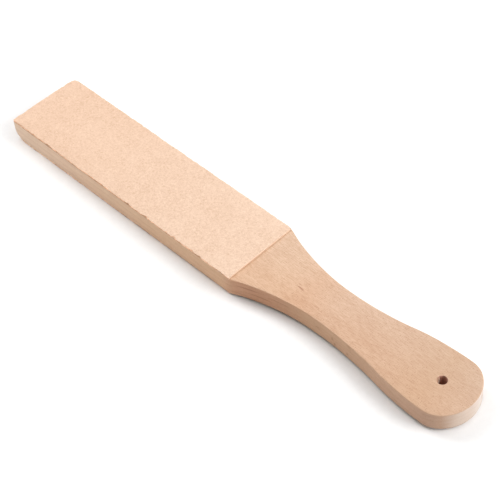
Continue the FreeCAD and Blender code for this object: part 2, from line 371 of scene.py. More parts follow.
class Shader:
    """Builds a material's nodes. Numbers or sockets may be given for any input."""

    def __init__(self, name):
        self.material = bpy.data.materials.new(name)
        self.material.use_nodes = True
        self.tree = self.material.node_tree
        self.bsdf = self.tree.nodes["Principled BSDF"]
        coordinates = self.node("ShaderNodeTexCoord").outputs["Object"]
        self.mm = self.vector("SCALE", coordinates, scale=1 / MM)
        self.normal = self.node("ShaderNodeNewGeometry").outputs["Normal"]

    def put(self, socket, value):
        """Links a socket to an input, or sets its number or colour."""
        if isinstance(value, bpy.types.NodeSocket):
            self.tree.links.new(value, socket)
        else:
            socket.default_value = value

    def node(self, kind, inputs=None, **settings):
        node = self.tree.nodes.new(kind)
        for key, value in settings.items():
            setattr(node, key, value)
        for key, value in (inputs or {}).items():
            self.put(node.inputs[key], value)
        return node

    def vector(self, operation, a, b=None, scale=None):
        node = self.node("ShaderNodeVectorMath", operation=operation)
        self.put(node.inputs[0], a)
        if b is not None:
            self.put(node.inputs[1], b)
        if scale is not None:
            self.put(node.inputs["Scale"], scale)
        return node.outputs["Value" if operation == "LENGTH" else "Vector"]

    def math(self, operation, a, b=0.0, c=0.0):
        node = self.node("ShaderNodeMath", operation=operation)
        for socket, value in zip(node.inputs, (a, b, c)):
            self.put(socket, value)
        return node.outputs[0]

    def weighted(self, *terms):
        """The sum of values times their weights."""
        total = 0.0
        for value, weight in terms:
            total = self.math("MULTIPLY_ADD", value, weight, total)
        return total

    def product(self, first, *others):
        for other in others:
            first = self.math("MULTIPLY", first, other)
        return first

    def parts(self, vector):
        return self.node("ShaderNodeSeparateXYZ", {0: vector}).outputs

    def join(self, x, y, z):
        return self.node("ShaderNodeCombineXYZ", {0: x, 1: y, 2: z}).outputs[0]

    def noise(self, vector, detail=2.0, roughness=0.5, distortion=0.0):
        inputs = {
            "Vector": vector, "Scale": 1.0, "Detail": detail, "Roughness": roughness,
            "Distortion": distortion,
        }
        return self.node("ShaderNodeTexNoise", inputs).outputs["Fac"]

    def stretched(self, x, y, z, vector=None):
        """The place in cells of x by y by z millimetres."""
        return self.vector("DIVIDE", vector or self.mm, (x, y, z))

    def band(self, value, low, high, to_low=0.0, to_high=1.0):
        """Value from low to high, eased into to_low to to_high."""
        node = self.node("ShaderNodeMapRange", interpolation_type="SMOOTHSTEP")
        for socket, v in zip(node.inputs, (value, low, high, to_low, to_high)):
            self.put(socket, v)
        return node.outputs[0]

    def ramp(self, value, stops):
        node = self.node("ShaderNodeValToRGB", {0: value})
        elements = node.color_ramp.elements
        while len(elements) < len(stops):
            elements.new(0.5)
        for element, (position, colour) in zip(elements, stops):
            element.position = position
            element.color = (*colour, 1.0)
        return node.outputs["Color"]

    def mix(self, factor, a, b):
        node = self.node("ShaderNodeMix", data_type="RGBA")
        for socket, value in ((0, factor), (6, a), (7, b)):
            if isinstance(value, tuple):
                value = (*value, 1.0)
            self.put(node.inputs[socket], value)
        return node.outputs[2]

    def from_tip(self):
        """The distance from the tip of the blade."""
        return self.math("SUBTRACT", self.parts(self.mm)[0], TIP / MM)

    def tones(self, stops):
        """Half of the tint here, from tints at distances from the tip."""
        share = self.math("DIVIDE", self.from_tip(), LENGTH)
        return self.ramp(share, [(place / LENGTH, halved(tint)) for place, tint in stops])

    def tinted(self, colour, half_tint):
        """The colour times a tint, given as half of it to fit between 0 and 1."""
        return self.vector("SCALE", self.vector("MULTIPLY", colour, half_tint), scale=2.0)

    def bump(self, height, strength, distance):
        inputs = {"Height": height, "Strength": strength, "Distance": distance}
        return self.node("ShaderNodeBump", inputs).outputs[0]

    def finished(self, surface):
        """The material, with its surface's inputs set."""
        for key, value in surface.items():
            self.put(self.bsdf.inputs[key], value)
        return self.material


def halved(tint):
    return tuple(value / 2 for value in tint)


BEECH_LIGHT = (0.700, 0.490, 0.345)
BEECH_DARK = (0.530, 0.318, 0.198)
BEECH_RAY = (0.400, 0.200, 0.110)
STREAK_COLOUR = (0.35, 0.158, 0.085)
# Tints of the board along its length, as distance from the tip and colour: the planed faces, with
# painted light just past the front strip's end against the shadow of its step, and the sawn near side,
# which is paler on the blade
# and darker and redder on the handle: painted light on the blade's side, strongest at the tip, and
# painted shade at the neck, behind the shoulder
FACE_TONES_AND_STEP_LIGHT = [
    (0, (1.02, 1.02, 1.02)), (191, (1.09, 1.10, 1.10)), (194, (1.01, 1.02, 1.03)),
    (215, (1.01, 1.01, 1.01)), (230, (0.96, 0.91, 0.885)), (250, (0.96, 0.955, 0.975)),
    (290, (0.915, 0.90, 0.905)), (318, (0.88, 0.86, 0.835)), (343, (0.89, 0.90, 0.93)),
]
SIDE_LIGHT_AND_SHADE = [
    (5, (1.357, 1.50, 1.62)), (45, (1.335, 1.42, 1.49)), (80, (1.30, 1.34, 1.33)),
    (125, (1.24, 1.225, 1.14)), (184, (1.22, 1.16, 1.05)), (194, (0.985, 0.818, 0.731)),
    (203, (0.927, 0.742, 0.637)), (214, (0.955, 0.768, 0.660)), (225, (0.968, 0.82, 0.711)),
    (240, (1.02, 0.93, 0.820)), (270, (1.00, 0.931, 0.848)), (300, (1.0, 0.94, 0.905)),
    (315, (0.975, 0.912, 0.887)), (327, (0.90, 0.83, 0.82)), (336, (0.80, 0.775, 0.785)),
]
FAR_SIDE = (1.05, 1.07, 1.10)
# Tints of the end grain, and of the faces at the board's near and far edges. The butt's tints are pale
# end grain with a painted highlight, palest where the butt turns towards the far side and the key light
NEAR_BUTT_AND_HIGHLIGHT, FAR_BUTT_AND_HIGHLIGHT, TIP_GRAIN = (0.995, 1.20, 1.46), (1.05, 1.38, 1.83), (0.98, 0.95, 0.92)
NEAR_FACE, FAR_FACE = (0.985, 0.955, 0.93), (1.01, 1.045, 1.085)
RING_WIDTH = 3.3
PITH_DEPTH = 34.0
RAY_CELL = (6.0, 1.4, 9.0)

# Darker streaks in the board: place, half sizes, strength
STREAKS = [
    ((225.3, -2.8, 13.6), (3.2, 0.42, 1.2), 0.9),
    ((226.8, -3.4, 13.6), (2.0, 0.30, 0.8), 0.6),
    ((223.2, -1.2, 13.6), (2.2, 0.24, 0.8), 0.45),
    ((231.5, -6.4, 13.6), (3.0, 0.26, 0.8), 0.4),
    ((247.4, -13.5, 8.1), (1.6, 2.0, 0.6), 0.5),
    ((258.2, -13.7, 7.9), (1.1, 2.0, 1.8), 0.45),
    ((259.9, -13.8, 4.4), (1.0, 2.0, 1.6), 0.55),
    ((271.1, -14.6, 12.6), (1.8, 1.2, 0.5), 0.5),
    ((269.7, -14.5, 5.0), (1.2, 2.0, 1.2), 0.4),
    ((206.0, -21.0, 10.0), (11.0, 5.0, 0.75), 0.55),
    ((213.0, -18.5, 6.6), (11.0, 5.0, 0.65), 0.50),
    ((200.0, -23.5, 3.9), (8.0, 4.0, 0.6), 0.42),
    ((224.0, -15.8, 9.4), (9.0, 4.0, 0.5), 0.40),
    ((209.0, -20.0, 2.9), (10.0, 5.0, 0.5), 0.36),
]


def beech():
    """Flat-sawn beech: faint growth rings, short dark rays, fine fibres, all through the board; its
    tints also carry painted light and shade.
    """
    m = Shader("beech")
    x, y, z = m.parts(m.mm)
    up = m.math("ABSOLUTE", m.parts(m.normal)[2])
    facing = m.parts(m.normal)[0]  # towards the butt
    outward = m.parts(m.normal)[1]  # towards the far side
    # Growth rings round a pith below the board, wandering a little along it
    wander = m.noise(m.stretched(90.0, 30.0, 30.0), detail=2.0)
    lift = m.noise(m.stretched(160.0, 90.0, 90.0), detail=1.0)
    side = m.weighted((y, 1.0), (x, 0.022), (wander, 6.0))
    depth = m.math("ADD", z, m.math("MULTIPLY_ADD", lift, 9.0, PITH_DEPTH))
    radius = m.vector("LENGTH", m.join(0.0, side, depth))
    phase = m.math("FRACT", m.math("DIVIDE", radius, RING_WIDTH))
    late = m.product(
        m.band(phase, 0.30, 0.90), m.band(phase, 0.90, 1.0, 1.0, 0.0),
        m.band(m.noise(m.stretched(50.0, 5.0, 3.0), detail=1.0), 0.35, 0.65, 0.25, 1.0),
        m.band(up, 0.1, 0.9, 0.5, 0.14),
    )
    # Fibres and slow changes of tone along the board
    fibre = m.noise(m.stretched(8.0, 0.58, 0.80), detail=4.0, roughness=0.60)
    flecks = m.noise(m.stretched(3.3, 0.48, 0.60), detail=2.0, roughness=0.5)
    pores = m.noise(m.stretched(2.2, 0.13, 0.13), detail=2.0)
    tone = m.noise(m.stretched(45.0, 9.0, 12.0), detail=3.0, roughness=0.6)
    # Rays: thin, upright, a few millimetres long
    swerve = m.noise(m.stretched(30.0, 6.0, 6.0), detail=1.0)
    bent = m.join(x, m.math("MULTIPLY_ADD", swerve, 1.5, y), z)
    rays = m.node("ShaderNodeTexVoronoi", {"Vector": m.stretched(*RAY_CELL, bent)})
    nearness = m.band(rays.outputs["Distance"], 0.20, 0.40, 1.0, 0.0)
    luck = m.band(m.parts(rays.outputs["Color"])[0], 0.40, 0.85)
    ray = m.product(nearness, luck, m.band(up, 0.2, 0.9, 0.25, 1.0))

    shade = m.weighted((fibre, 0.65), (late, 0.60), (tone, 0.42), (flecks, 0.90), (pores, 0.20))
    # The sawn sides are plainer than the planed faces, and the ends and the butt plainer too
    contrast = m.product(
        m.band(up, 0.1, 0.9, 0.5, 1.0), m.band(m.math("ABSOLUTE", facing), 0.6, 0.95, 1.0, 0.8),
        m.band(m.from_tip(), 270.0, 310.0, 1.0, 0.84),
    )
    shade = m.math("SUBTRACT", m.band(shade, 0.65, 1.61), 0.5)
    shade = m.math("MULTIPLY_ADD", shade, contrast, 0.5)
    colour = m.mix(shade, BEECH_LIGHT, BEECH_DARK)
    colour = m.mix(m.math("MULTIPLY", ray, 0.85), colour, BEECH_RAY)
    ragged = m.vector("SCALE", m.join(fibre, fibre, fibre), scale=0.5)
    for centre, size, strength in STREAKS:
        middle = (TIP / MM + centre[0], centre[1], centre[2])
        near = m.vector("DIVIDE", m.vector("SUBTRACT", m.mm, middle), size)
        near = m.vector("LENGTH", m.vector("ADD", near, ragged))
        mark = m.band(near, 0.35, 1.15, strength, 0.0)
        colour = m.mix(mark, colour, STREAK_COLOUR)
    sawn = m.band(up, 0.35, 0.75, 1.0, 0.0)
    # The near side's tint paints light on the blade's side and shade on the neck's, behind the shoulder
    sides = m.mix(m.band(outward, 0.1, 0.5), m.tones(SIDE_LIGHT_AND_SHADE), halved(FAR_SIDE))
    across = m.mix(m.band(y, -16.0, 18.0), NEAR_FACE, FAR_FACE)
    # The planed faces' tint paints light just past the front strip's end, against the shadow of its
    # step
    planed = m.vector("MULTIPLY", m.tones(FACE_TONES_AND_STEP_LIGHT), across)
    tint = m.mix(sawn, planed, sides)
    # Painted highlight: the butt's end grain made paler, most where it faces the far side and the key
    # light
    butt = m.mix(m.band(outward, -0.2, 0.35), halved(NEAR_BUTT_AND_HIGHLIGHT), halved(FAR_BUTT_AND_HIGHLIGHT))
    tint = m.mix(m.band(facing, 0.66, 0.97), tint, butt)
    tint = m.mix(m.band(facing, -0.95, -0.6, 1.0, 0.0), tint, halved(TIP_GRAIN))

    rough = m.math("MULTIPLY_ADD", fibre, 0.16, 0.50)
    height = m.weighted((fibre, 0.7), (pores, 0.5), (ray, -0.8))
    return m.finished({
        "Base Color": m.tinted(colour, tint),
        "Roughness": m.math("MULTIPLY_ADD", ray, 0.10, rough),
        "Specular IOR Level": 0.35,
        "Normal": m.bump(height, 0.5, 0.00006),
    })


def drilled_wall():
    """The inside of the hole: painted shade, darker than the board in patches, with turning marks."""
    m = Shader("drilled_beech")
    turns = m.noise(m.stretched(1.4, 1.4, 0.22), detail=3.0, roughness=0.6)
    shade_patches = m.noise(m.stretched(2.4, 2.4, 3.0), detail=2.0)
    factor = m.weighted((shade_patches, 0.6), (turns, 0.5))
    # Painted shade: the wall made darker than the board, to deepen the hole's shade
    colour = m.ramp(factor, [(0.25, (0.32, 0.15, 0.11)), (0.75, (0.64, 0.37, 0.27))])
    normal = m.bump(turns, 0.6, 0.0001)
    return m.finished({"Base Color": colour, "Roughness": 0.8, "Normal": normal})


# Tints of the leather along its length, as distance from the tip and colour
SUEDE_TONES = [(0, (0.96, 0.925, 0.90)), (60, (0.965, 0.935, 0.91)), (130, (1.0, 1.0, 1.0))]


def suede():
    """The flesh side of vegetable-tanned leather: a short matted nap, mottled and dry."""
    m = Shader("suede_leather")
    matted = m.noise(m.stretched(1.25, 1.25, 1.25), detail=4.0, roughness=0.62, distortion=0.8)
    strands = m.noise(m.stretched(0.55, 0.55, 0.55), detail=3.0, roughness=0.6, distortion=2.0)
    patches = m.noise(m.stretched(7.0, 7.0, 7.0), detail=3.0, roughness=0.55)
    clouds = m.noise(m.stretched(46.0, 30.0, 30.0), detail=2.0)
    shade = m.weighted((strands, 0.74), (matted, 0.76), (patches, 0.18), (clouds, 0.18))
    shade = m.math("SUBTRACT", shade, 0.39)
    colour = m.ramp(shade, [
        (0.36, (0.610, 0.405, 0.280)),
        (0.47, (0.685, 0.480, 0.350)),
        (0.58, (0.740, 0.535, 0.400)),
        (0.72, (0.795, 0.600, 0.465)),
    ])
    height = m.weighted((matted, 0.8), (strands, 0.7))
    return m.finished({
        "Base Color": m.tinted(colour, m.tones(SUEDE_TONES)),
        "Roughness": 0.92,
        "Specular IOR Level": 0.2,
        "Sheen Weight": 0.12,
        "Sheen Roughness": 0.5,
        "Normal": m.bump(height, 0.55, 0.00022),
    })


# Tints of the near cut edges along them, the front strip's and the back one's: painted light that lifts
# the shade on edges facing the near side, more on the back strip's edge by the floor. The tip and the
# far side have a lit copy with a milder tint, and the end at the handle is painted pale against the
# shade in the step's corner
FRONT_SHADE_LIFT, BACK_SHADE_LIFT = (1.80, 1.67, 1.58), (2.1, 1.9, 1.85)
LIT_FACING_TINT, END_FACE_PAINTED_LIGHT = (1.12, 1.08, 1.06), (0.86, 0.64, 0.48)
FRONT_LIFT_TONES = [(0, (1.03, 1.05, 1.05)), (120, (1.06, 1.07, 1.08)), (170, (1.08, 1.14, 1.19))]
BACK_LIFT_TONES = [
    (20, (1.04, 1.22, 1.29)), (60, (1.06, 1.15, 1.20)), (110, (1.04, 1.06, 1.08)),
    (160, (1.03, 1.0, 1.0)),
]


def cut_edge(name, lift, tones):
    """The cut edge of the leather: darker than its face, layered, with packed fibres; painted light
    lifts it where it faces the shaded near side and on its end at the handle.
    """
    m = Shader(name)
    layers = m.noise(m.stretched(2.2, 2.2, 0.16), detail=3.0, roughness=0.6)
    spots = m.noise(m.stretched(1.1, 1.1, 0.6), detail=2.0, distortion=0.6)
    stains = m.noise(m.stretched(4.5, 4.5, 2.0), detail=3.0, roughness=0.6)
    factor = m.weighted((layers, 0.5), (spots, 0.6))
    factor = m.math("ADD", stains, m.math("SUBTRACT", factor, 0.48))
    colour = m.ramp(factor, [
        (0.30, (0.200, 0.100, 0.060)),
        (0.50, (0.400, 0.225, 0.130)),
        (0.66, (0.560, 0.365, 0.245)),
        (0.82, (0.720, 0.510, 0.375)),
    ])
    # Painted light: a copy lifted against the shade on edges that face the near side
    shade_lifted = m.tinted(m.vector("MULTIPLY", colour, lift), m.tones(tones))
    # The lit copy, for edges at the tip and the far side
    plain = m.vector("MULTIPLY", colour, LIT_FACING_TINT)
    near = m.band(m.parts(m.normal)[1], -0.7, -0.3, 1.0, 0.0)
    # Painted light on the end at the handle, against the shade in the step's corner
    end = m.band(m.parts(m.normal)[0], 0.4, 0.8, 0.0, 0.95)
    return m.finished({
        "Base Color": m.mix(end, m.mix(near, plain, shade_lifted), END_FACE_PAINTED_LIGHT),
        "Roughness": 0.85,
        "Normal": m.bump(layers, 0.6, 0.00012),
    })


def dried_cement():
    """A film of dried contact cement: amber, slightly shiny, with trapped bubbles."""
    m = Shader("dried_contact_cement")
    bubbles = m.node("ShaderNodeTexVoronoi", {"Vector": m.stretched(0.8, 0.8, 0.8)})
    flow = m.noise(m.stretched(3.0, 3.0, 0.5), detail=3.0)
    colour = m.ramp(flow, [(0.3, (0.50, 0.30, 0.17)), (0.7, (0.74, 0.52, 0.35))])
    return m.finished({
        "Base Color": colour,
        "Roughness": m.math("MULTIPLY_ADD", flow, 0.3, 0.25),
        "Normal": m.bump(bubbles.outputs["Distance"], 0.4, 0.0001),
    })


BEECH, DRILLED, SUEDE, CEMENT = beech(), drilled_wall(), suede(), dried_cement()
# Both cut edges carry painted light against their shade, the back one's more, by the floor
CUT_EDGE = cut_edge("leather_cut_edge", FRONT_SHADE_LIFT, FRONT_LIFT_TONES)
LIFTED_BACK_CUT_EDGE = cut_edge("back_leather_cut_edge_painted_light", BACK_SHADE_LIFT, BACK_LIFT_TONES)


# ---------------------------------------------------------------- the paddle

def paddle_easing(s, points, normals):
    """How far the top and bottom edges are eased at each point round the paddle."""
    x, side = points[:, 0], normals[:, 1]
    along = np.stack([s, np.zeros_like(s)], 1)
    handle = smoothstep(x, EASING_START, EASING_FULL)
    far = smoothstep(side, -0.85, 0.9)
    near_edge = 0.55 + 0.22 * noise(along, 11.0, 31) + 0.10 * noise(along, 4.0, 32)
    far_edge = 0.7 + 0.15 * noise(along, 16.0, 33)
    top = (1 - handle) * 0.22 + handle * ((1 - far) * near_edge + far * far_edge)
    bottom = (1 - handle) * 0.3 + handle * (1.3 + 0.3 * noise(along, 13.0, 34))
    return top, bottom


# The wear at the tip's lower near corner: its reach along the edges, its height and its push
WEAR_REACH, WEAR_HEIGHT, WEAR_DEPTH = 4.5, 7.5, 1.9
WEAR_DIRECTION = np.array([0.8, 0.6, 0.0])


def knocked(vertices):
    """The tip's near corner as it is, worn round towards the back of the strop."""
    x, y, z = vertices.T
    nearness = np.exp(-((x / WEAR_REACH) ** 2 + ((y + HALF_WIDTH) / WEAR_REACH) ** 2))
    push = WEAR_DEPTH * nearness * np.clip((WEAR_HEIGHT - z) / WEAR_HEIGHT, 0, 1) ** 2
    return vertices + push[:, None] * WEAR_DIRECTION


def build_paddle():
    """The board, with eased edges, walls that aren't quite flat, and the hole."""
    outline = paddle_outline()
    # Arcs 0 and 12 are the tip's corners, and arc 6 is the end of the butt
    corners = [
        outline.where(0, 0.5), outline.where(6, 0.0), outline.where(6, 1.0), outline.where(12, 0.5),
    ]
    along = graded(corners[1] - corners[0], 0.2, 0.9)
    across = graded(2 * HALF_WIDTH, 0.35, 1.5)
    slab = Slab(outline, corners, along, across)
    top, bottom = paddle_easing(slab.s, slab.points, slab.normals)
    # How far in and how far down an eased edge turns, step by step, as shares of its easing
    turns = [(1 - math.sin(a), 1 - math.cos(a)) for a in np.linspace(0, math.pi / 2, 7)]
    upper = slab.grid(slab.inset(top), flat_at(WOOD_TOP))
    lower = slab.grid(slab.inset(bottom), flat_at(WOOD_BOTTOM))
    rings = [upper[slab.loop]]
    for inset, drop in turns[1:]:
        rings.append(slab.ring(top * inset, WOOD_TOP - top * drop))
    # Sanding leaves the wall hollow, more in some places than in others
    handle = smoothstep(slab.points[:, 0], EASING_START, EASING_FULL)
    for share in np.linspace(0, 1, 9)[1:-1]:
        z = (WOOD_TOP - top) * (1 - share) + (WOOD_BOTTOM + bottom) * share
        uneven = 1 + noise(np.column_stack([slab.points, z]), 9.0, 35)
        rings.append(slab.ring((0.02 + 0.05 * handle) * uneven * math.sin(math.pi * share), z))
    for inset, rise in turns[:0:-1]:
        rings.append(slab.ring(bottom * inset, WOOD_BOTTOM + bottom * rise))
    rings.append(lower[slab.loop])
    slab.join(rings, 0)
    drill(slab, upper, lower)
    vertices, quads, kinds = slab.result()
    vertices, quads = drop_unused(knocked(vertices), quads)
    piece = mesh_piece("beech_paddle", vertices, quads, kinds, [BEECH, DRILLED])
    piece.modifiers.new("even_shading", "WEIGHTED_NORMAL").weight = 50
    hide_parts("wooden_paddle")


def drill(slab, upper, lower):
    """Opens the grids round the hole and joins their borders to its rims and wall."""
    vertices = np.concatenate(slab.vertices)
    grid = vertices[upper]
    middle = np.array([HOLE_X, HOLE_Y])
    nearest = np.argmin(np.hypot(grid[..., 0] - HOLE_X, grid[..., 1] - HOLE_Y))
    i, j = np.unravel_index(nearest, upper.shape)
    # The block of cells that makes way for the hole
    i0, i1, j0, j1 = i - 7, i + 7, j - 4, j + 4
    keep = np.ones((upper.shape[0] - 1, upper.shape[1] - 1), bool)
    keep[i0:i1, j0:j1] = False
    slab.cover(upper, True, 0, keep)
    slab.cover(lower, False, 0, keep)
    # The places round the block, anticlockwise
    wide, tall = i1 - i0, j1 - j0
    gi = np.concatenate([
        np.arange(i0, i1), np.full(tall, i1), np.arange(i1, i0, -1), np.full(tall, i0),
    ])
    gj = np.concatenate([
        np.full(wide, j0), np.arange(j0, j1), np.full(wide, j1), np.arange(j1, j0, -1),
    ])
    top_border, bottom_border = upper[gi, gj], lower[gi, gj]
    angle = np.arctan2(vertices[top_border, 1] - HOLE_Y, vertices[top_border, 0] - HOLE_X)
    around = np.stack([np.cos(angle), np.sin(angle)], 1)
    rim = 0.28
    nick = 0.10 * np.abs(noise(np.stack([angle * 2.0, angle * 0], 1), 0.35, 41))

    def ring(radius, z):
        return slab.add_at(middle + around * np.reshape(radius, (-1, 1)), z)

    def ease(border, level):
        """Rings from the block's border in to the rim."""
        start = vertices[border, :2]
        goal = middle + around * (HOLE_RADIUS + rim)
        shares = (0.3, 0.55, 0.75, 0.88, 0.96, 1.0)
        return [slab.add_at(start * (1 - share) + goal * share, level) for share in shares]

    rings = [top_border] + ease(top_border, WOOD_TOP)
    rings.append(ring(HOLE_RADIUS + 0.4 * rim + nick, WOOD_TOP - 0.3 * rim))
    wall = [rings[-1], ring(HOLE_RADIUS + nick, WOOD_TOP - rim)]
    for share in np.linspace(0, 1, 13)[1:-1]:
        z = WOOD_TOP - rim - share * (WOOD_TOP - WOOD_BOTTOM - 2 * rim)
        place = np.stack([angle * 1.5, np.full(len(angle), z * 2)], 1)
        wall.append(ring(HOLE_RADIUS + 0.05 * (1 + noise(place, 1.0, 42)), z))
    wall.append(ring(HOLE_RADIUS, WOOD_BOTTOM + rim))
    slab.join(rings, 0, outward=False)
    slab.join(wall, 1, outward=False)
    below = ease(bottom_border, WOOD_BOTTOM)[::-1]
    slab.join([wall[-1]] + below + [bottom_border], 0, outward=False)


def drop_unused(vertices, faces):
    """Leaves out vertices that no face uses."""
    used, renumbered = np.unique(faces, return_inverse=True)
    return vertices[used], renumbered.reshape(faces.shape)


# ---------------------------------------------------------------- the leather

# Nicks in the front strip's near cut edge: distance from the tip, width, depth
NICKS = [
    (32.9, 2.2, 0.75), (36.5, 1.2, 0.35), (47.5, 1.6, 0.4), (121.5, 2.6, 0.7), (129.0, 1.5, 0.4),
    (145.7, 2.4, 0.7), (151.5, 1.4, 0.4), (167.3, 1.8, 0.7), (182.0, 1.2, 0.4),
]
# Small nicks in either strip's near edge: how many, and the limits of those three measures
SMALL_NICKS, SMALL_NICK_LIMITS = 30, [(4, 188), (0.8, 2.2), (0.15, 0.45)]


def nap_height(points, seed):
    """The nap's relief: matted tufts over a gently uneven skin."""
    swirl = np.stack([noise(points, 2.2, seed), noise(points, 2.2, seed + 1)], 1)
    tufts = noise(points + 0.8 * swirl, 1.15, seed + 2)
    fine = noise(points + 0.4 * swirl, 0.62, seed + 3)
    slow = noise(points, 9.0, seed + 4)
    return 0.036 * tufts + 0.022 * fine + 0.030 * slow - 0.05


def build_leather(name, node, outline, seed, nap_up, roughness, edge, place, nicks=()):
    """A strip of leather glued by its smooth side, with its nap up or down."""
    low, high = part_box(node)
    thickness = (high.z - low.z) / MM
    base = low.z / MM
    slab = strip_slab(outline, 0.12, 0.5, 0.5)
    s = slab.s
    ragged = np.stack([s, np.zeros_like(s)], 1)
    bite = np.zeros_like(s)
    random = np.random.default_rng(seed + 20)
    small = np.column_stack([
        random.uniform(least, most, SMALL_NICKS) for least, most in SMALL_NICK_LIMITS
    ])
    near = slab.normals[:, 1] < -0.9
    for position, width, depth in list(nicks) + list(small * [1, 1, roughness]):
        bite += near * depth * np.exp(-(((slab.points[:, 0] - position) / (width / 2)) ** 2))
    torn = np.clip(noise(ragged, 2.6, seed + 13), 0, 1) ** 2
    wave = 0.11 * noise(ragged, 1.1, seed + 10) + 0.07 * noise(ragged, 4.5, seed + 11)
    wave += 0.6 * torn * roughness

    def nap(points):
        return thickness + nap_height(points, seed)

    def roll(amount, drop):
        """A ring just inside or below the nap's border."""
        border = slab.inset(amount + 0.9 * (wave + bite))
        return slab.add_at(border, nap(border) - drop)

    upper = slab.grid(slab.inset(0.15 + wave + bite), nap)
    rings = [upper[slab.loop], roll(0.05, 0.03), roll(0.0, 0.12)]
    for share in (0.30, 0.5, 0.7, 0.88):
        z = thickness * (1 - share)
        rough = np.stack([s, np.full_like(s, z)], 1)
        inset = 0.03 * (1 + noise(rough, 0.7, seed + 12)) + 0.6 * wave * (1 - share) + bite
        rings.append(slab.ring(inset, z))
    lower = slab.grid(slab.inset(0.10 + 0.5 * bite), flat_at(0.0))
    rings.append(lower[slab.loop])
    slab.join(rings[:2], 0)
    slab.join(rings[1:], 1)
    slab.cover(upper, True, 0)
    slab.cover(lower, False, 0)
    vertices, quads, kinds = slab.result()
    if nap_up:
        vertices[:, 2] += base
    else:
        # The strop's weight presses the nap flat on whatever it lies on
        vertices[:, 2] = np.maximum(base + thickness - vertices[:, 2], base)
        quads = quads[:, ::-1]
    piece = mesh_piece(name, place(vertices), quads, kinds, [SUEDE, edge])
    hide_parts(node)
    return piece


# The front strip was glued a little skew: its near edge stands in at the tip, out at the shoulder
FRONT_SKEW, FRONT_PIVOT = math.radians(-0.12), 70.0


def lay_front(vertices):
    """Turns the front strip into its place on the paddle."""
    x, y, z = vertices.T
    return np.column_stack([x, y + math.tan(FRONT_SKEW) * (x - FRONT_PIVOT), z])


FRONT_LENGTH = (FRONT_HIGH.x - FRONT_LOW.x) / MM
FRONT_OUTLINE = strip_outline(FRONT_LENGTH, -HALF_WIDTH, HALF_WIDTH)

# The back strip was cut a little narrow and laid a little skew
BACK_LENGTH, BACK_WIDTH, BACK_START, BACK_SKEW = 189.4, 49.3, 0.4, math.radians(0.2)
BACK_OUTLINE = strip_outline(BACK_LENGTH, 0.0, BACK_WIDTH)


def lay_back(vertices):
    """Turns the back strip into its place on the paddle, with its corner worn as the board's."""
    c, s = math.cos(BACK_SKEW), math.sin(BACK_SKEW)
    x, y, z = vertices.T
    return knocked(np.column_stack([
        BACK_START + c * x - s * y,
        -HALF_WIDTH + s * x + c * y,
        z,
    ]))


def build_cement(name, node, outline, seed, place):
    """The film under a strip: its edge wanders in and out where it was squeezed."""
    low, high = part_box(node)
    slab = strip_slab(outline, 0.3, 0.8, 1.6)
    ragged = np.stack([slab.s, np.zeros_like(slab.s)], 1)
    inset = 0.16 + 0.08 * noise(ragged, 2.6, seed) + 0.05 * noise(ragged, 0.9, seed + 1)
    inset *= 1 - 0.8 * smoothstep(slab.normals[:, 0], 0.7, 1.0)  # squeezed out at the end
    bottom, top = low.z / MM, high.z / MM
    upper = slab.grid(slab.inset(inset + 0.04), flat_at(top))
    middle = slab.ring(inset, (bottom + top) / 2)
    lower = slab.grid(slab.inset(inset + 0.03), flat_at(bottom))
    slab.join([upper[slab.loop], middle, lower[slab.loop]], 0)
    slab.cover(upper, True, 0)
    slab.cover(lower, False, 0)
    vertices, quads, kinds = slab.result()
    piece = mesh_piece(name, place(vertices), quads, kinds, [CEMENT])
    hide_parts(node)


# ---------------------------------------------------------------- fibres

def fibres(name, roots, directions, lengths, widths, curls, material):
    """Short tapering fibres, closed at both ends, each curling towards its curl direction."""
    steps, sides = [0.0, 0.35, 0.7], 3
    vertices, faces = [], []
    for root, direction, length, width, curl in zip(roots, directions, lengths, widths, curls):
        direction = direction / np.linalg.norm(direction)
        across = np.cross(direction, [0.13, 0.21, 1.0])
        across /= np.linalg.norm(across)
        other = np.cross(direction, across)
        first = len(vertices)
        for t in steps:
            centre = root + direction * length * t + curl * length * t * t
            for k in range(sides):
                a = 2 * math.pi * k / sides
                out = math.cos(a) * across + 0.7 * math.sin(a) * other
                vertices.append(centre + out * width / 2 * (1 - 0.75 * t))
        vertices.append(root + direction * length + curl * length)
        tip = len(vertices) - 1
        for level in range(len(steps) - 1):
            for k in range(sides):
                a, b = first + level * sides + k, first + level * sides + (k + 1) % sides
                faces.append((a, b, b + sides, a + sides))
        last = first + (len(steps) - 1) * sides
        for k in range(sides):
            faces.append((last + k, last + (k + 1) % sides, tip))
        faces.append(tuple(first + k for k in reversed(range(sides))))
    mesh_piece(name, vertices, faces, np.zeros(len(faces)), [material])


LOOSE_FIBRES = 900
# Where tufts of them hang over the near cut edge: distance from the tip, spread, how many
TUFTS = [(44.0, 1.2, 20), (126.0, 0.8, 12), (139.0, 1.3, 34), (163.0, 0.9, 14), (184.0, 1.6, 40)]


